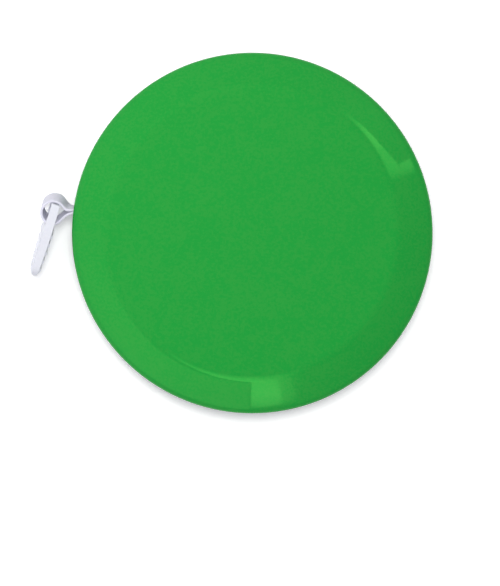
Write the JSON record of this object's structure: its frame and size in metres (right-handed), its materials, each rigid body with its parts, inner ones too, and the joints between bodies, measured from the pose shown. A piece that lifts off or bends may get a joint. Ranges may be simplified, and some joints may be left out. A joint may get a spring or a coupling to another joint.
{
  "type": "retractable tape measure",
  "caption": "Pocket tape measure for sewing: round moulded case, sprung drum of soft tape, push-button brake and a moulded pull tab on the tape's end loop.",
  "frame": {"origin": "on the drum's axis, in the plane of the case's back face, which the case rests on", "axes": "+Z along the drum's axis, from the back with its button to the plain front face; -X out through the tape's slot"},
  "size_m": [0.0549, 0.05, 0.013],
  "materials": {
    "case_plastic": "polished moulded green",
    "tab_plastic": "satin moulded white",
    "inner_plastic": "natural moulded",
    "spring_steel": "rolled strip",
    "brake_rubber": "black",
    "tape": "white coated glass cloth, printed scale",
    "eyelet_brass": "bright"
  },
  "bodies": {
    "case": {"front_cover": "case_plastic", "back_cover": "case_plastic", "arbor": "inner_plastic", "brake_ring": "brake_rubber", "wave_washer": "spring_steel", "tape_lead": "tape"},
    "button": {"push_button": "tab_plastic"},
    "drum": {"drum_body": "inner_plastic", "drum_cap": "inner_plastic", "mainspring": "spring_steel", "thrust_washer": "inner_plastic", "tape_coil": "tape"},
    "tape_end": {"tape_end_loop": "tape", "loop_eyelet": "eyelet_brass"},
    "tab": {"pull_tab": "tab_plastic"}
  },
  "joints": [
    {"name": "button_press", "type": "slide", "parent": "case", "child": "button", "axis": [0, 0, 1], "range_m": [0, 0.0007], "stiffness_N_per_m": 3000, "springref_m": -0.001, "deforming": ["wave_washer", "tape_lead"]},
    {"name": "drum_turn", "type": "hinge", "parent": "button", "child": "drum", "pos_m": [0, 0, 0.00645], "axis": [0, 0, 1], "range_deg": [0, 5628], "stiffness_Nm_per_rad": 0.00015, "springref_deg": -1890.76, "deforming": ["mainspring", "tape_lead"]},
    {"name": "tape_pull", "type": "slide", "parent": "case", "child": "tape_end", "axis": [-1, 0, 0], "range_m": [0, 1.5], "deforming": ["tape_lead"]},
    {"name": "tab_swing", "type": "hinge", "parent": "tape_end", "child": "tab", "pos_m": [-0.02766, 0.00037, 0.00645], "axis": [0, -0.1607, 0.987], "range_deg": [-186, 24]}
  ],
  "couplings": [
    {"joint": "tape_pull", "follows": "drum_turn", "m_per_rad": 0.015271}
  ]
}
